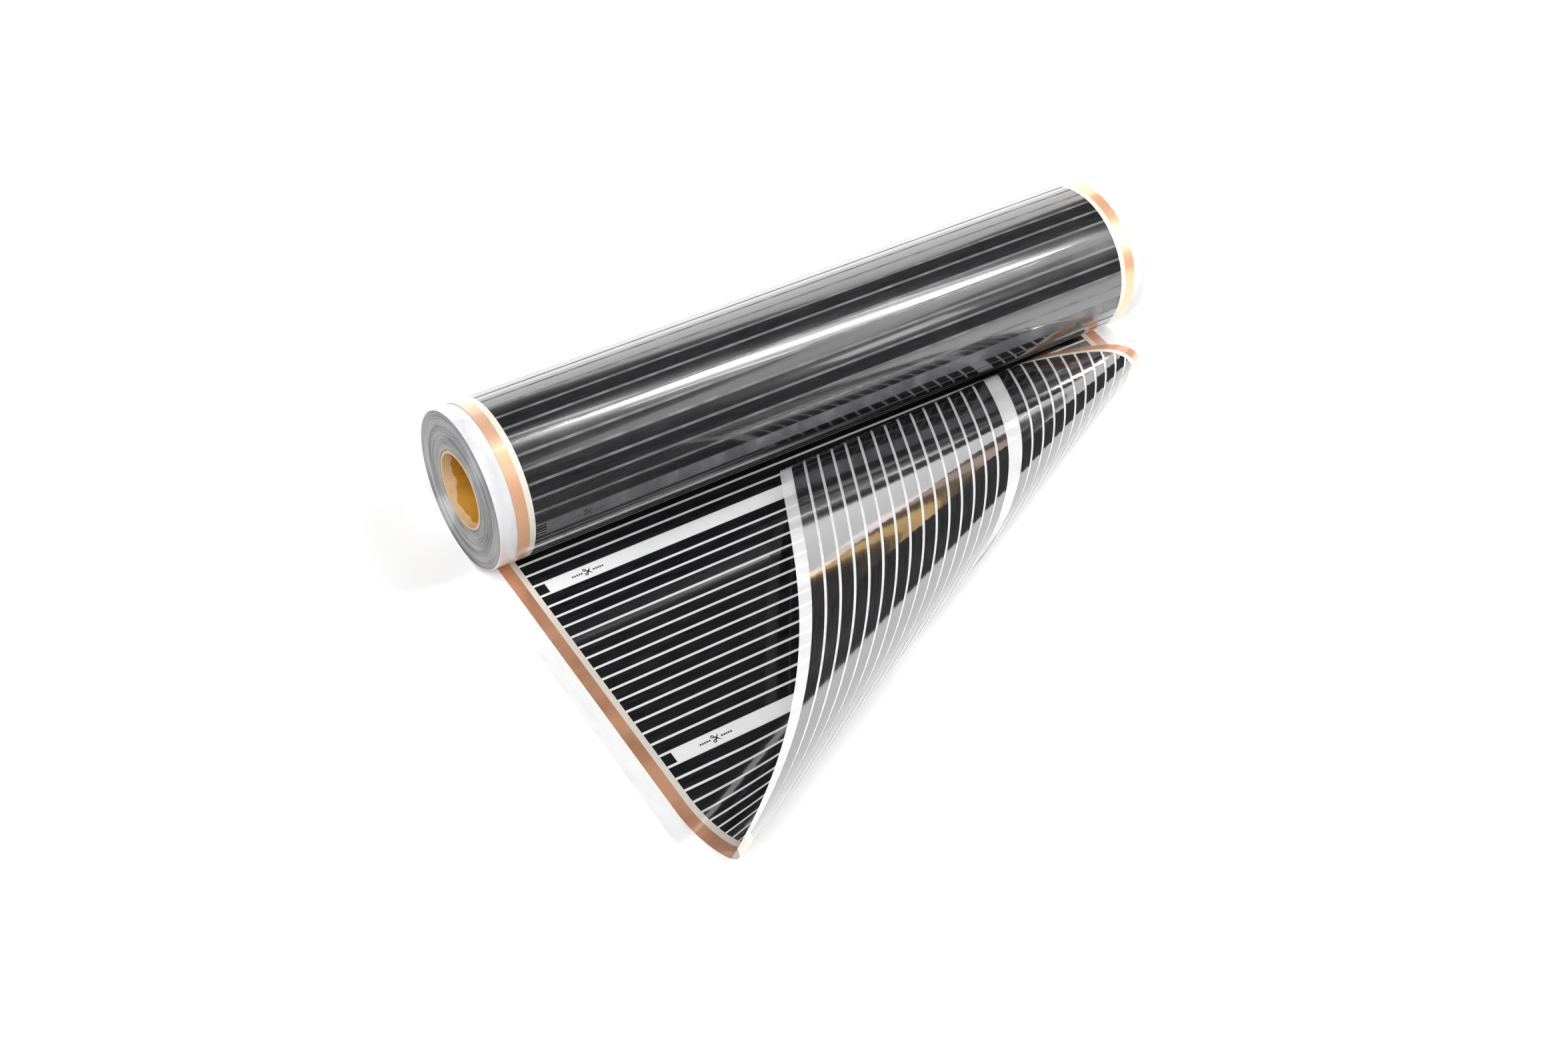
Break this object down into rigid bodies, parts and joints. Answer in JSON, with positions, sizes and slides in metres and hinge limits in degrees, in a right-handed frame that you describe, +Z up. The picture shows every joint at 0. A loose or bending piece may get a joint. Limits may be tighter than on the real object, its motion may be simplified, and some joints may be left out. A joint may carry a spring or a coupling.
{
  "type": "infrared heating film roll",
  "caption": "Part-used roll of infrared heating film on a cardboard core, with a loose end that curls back over itself beside the roll.",
  "frame": {"origin": "on the floor under the roll's axis, half way along the roll", "axes": "+X along the roll, from its left end to its right end seen from the loose end; -Y the side on which the loose end lies; +Z up"},
  "size_m": [0.8223, 0.5946, 0.176],
  "materials": {
    "film": "clear polyester laminate over printed carbon stripes, glossy",
    "cardboard": "kraft paper tube, matt"
  },
  "bodies": {
    "root": {"film_roll": "film", "loose_end": "film", "core_tube": "cardboard"}
  },
  "joints": []
}
